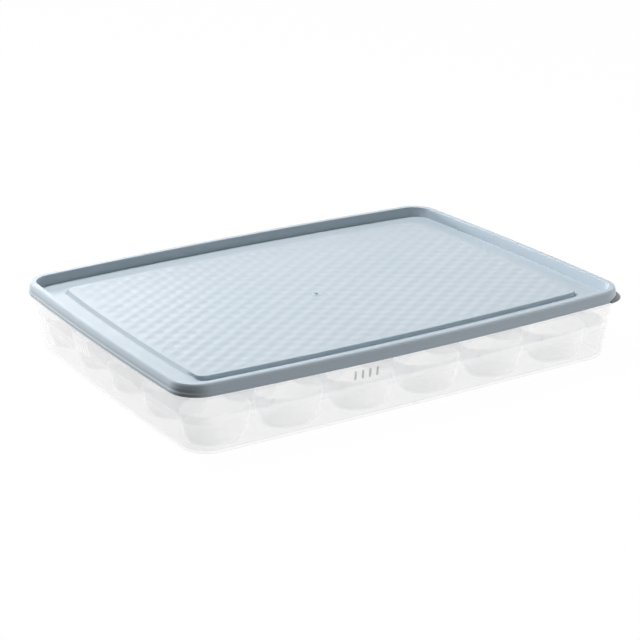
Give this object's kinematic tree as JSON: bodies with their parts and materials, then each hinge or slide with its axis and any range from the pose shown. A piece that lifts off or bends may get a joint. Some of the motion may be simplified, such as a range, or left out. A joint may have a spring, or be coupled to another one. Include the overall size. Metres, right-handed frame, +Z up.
{
  "type": "egg keeper",
  "caption": "Shallow clear fridge box with rounded corners, an inner tray of oval egg cups and a hinged lid with a raised rim and a raised woven-pattern panel.",
  "frame": {"origin": "middle of the box's flat foot, on the surface it stands on; the two hinges reach a little further behind than the lid does in front", "axes": "+Z up, +X along the long side, -Y towards the front, the hinges on the +Y side"},
  "size_m": [0.4122, 0.3212, 0.0581],
  "materials": {
    "clear_box": "clear, slightly milky moulded plastic",
    "clear_tray": "clear, slightly milky moulded plastic",
    "lid_plastic": "satin pale blue-grey moulded plastic",
    "pin_steel": "drawn steel wire"
  },
  "bodies": {
    "box": {"base": "clear_box", "egg_tray": "clear_tray", "hinge_pin_left": "pin_steel", "hinge_pin_right": "pin_steel"},
    "lid": {"lid": "lid_plastic"}
  },
  "joints": [
    {"name": "lid_hinge", "type": "hinge", "parent": "box", "child": "lid", "pos_m": [0, 0.1613, 0.0449], "axis": [-1, 0, 0], "range_deg": [0, 110]}
  ]
}
